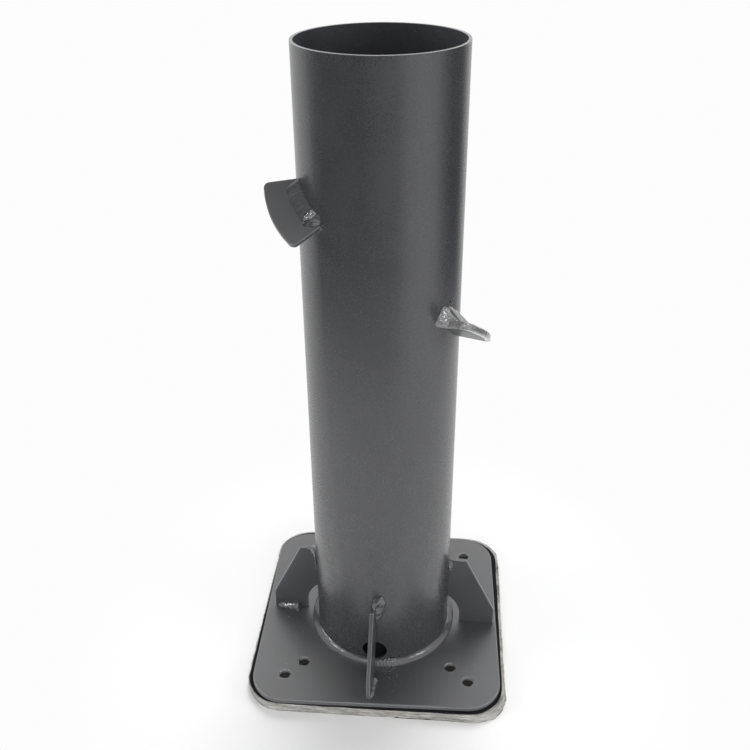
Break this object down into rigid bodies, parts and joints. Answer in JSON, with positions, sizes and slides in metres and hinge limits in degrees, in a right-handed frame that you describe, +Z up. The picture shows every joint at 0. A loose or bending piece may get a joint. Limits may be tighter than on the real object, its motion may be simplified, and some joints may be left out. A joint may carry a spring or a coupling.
{
  "type": "base plate",
  "caption": "Square welded steel base plate with an upright round socket tube, gussets at its foot, bolt holes, a drain hole and sloping side lugs, on a rubber mat and a felt pad.",
  "frame": {"origin": "on the ground, under the middle of the felt pad", "axes": "+Z up along the tube, -Y towards the front, where the drain hole is, +X to the right"},
  "size_m": [0.2652, 0.2652, 0.617],
  "materials": {
    "painted_steel": "satin anthracite paint with fine grain",
    "painted_weld": "rippled bead under glossy paint",
    "rubber": "matte",
    "felt": "fibrous felt"
  },
  "bodies": {
    "root": {"felt_pad": "felt", "rubber_mat": "rubber", "base_plate": "painted_steel", "post_tube": "painted_steel", "foot_weld": "painted_weld", "gusset_front": "painted_steel", "gusset_right": "painted_steel", "gusset_rear": "painted_steel", "gusset_left": "painted_steel", "gusset_front_post_weld": "painted_weld", "gusset_right_post_weld": "painted_weld", "gusset_rear_post_weld": "painted_weld", "gusset_left_post_weld": "painted_weld", "gusset_front_plate_weld": "painted_weld", "gusset_right_plate_weld": "painted_weld", "gusset_rear_plate_weld": "painted_weld", "gusset_left_plate_weld": "painted_weld", "lug_left": "painted_steel", "lug_right": "painted_steel", "lug_left_weld": "painted_weld", "lug_right_weld": "painted_weld"}
  },
  "joints": []
}
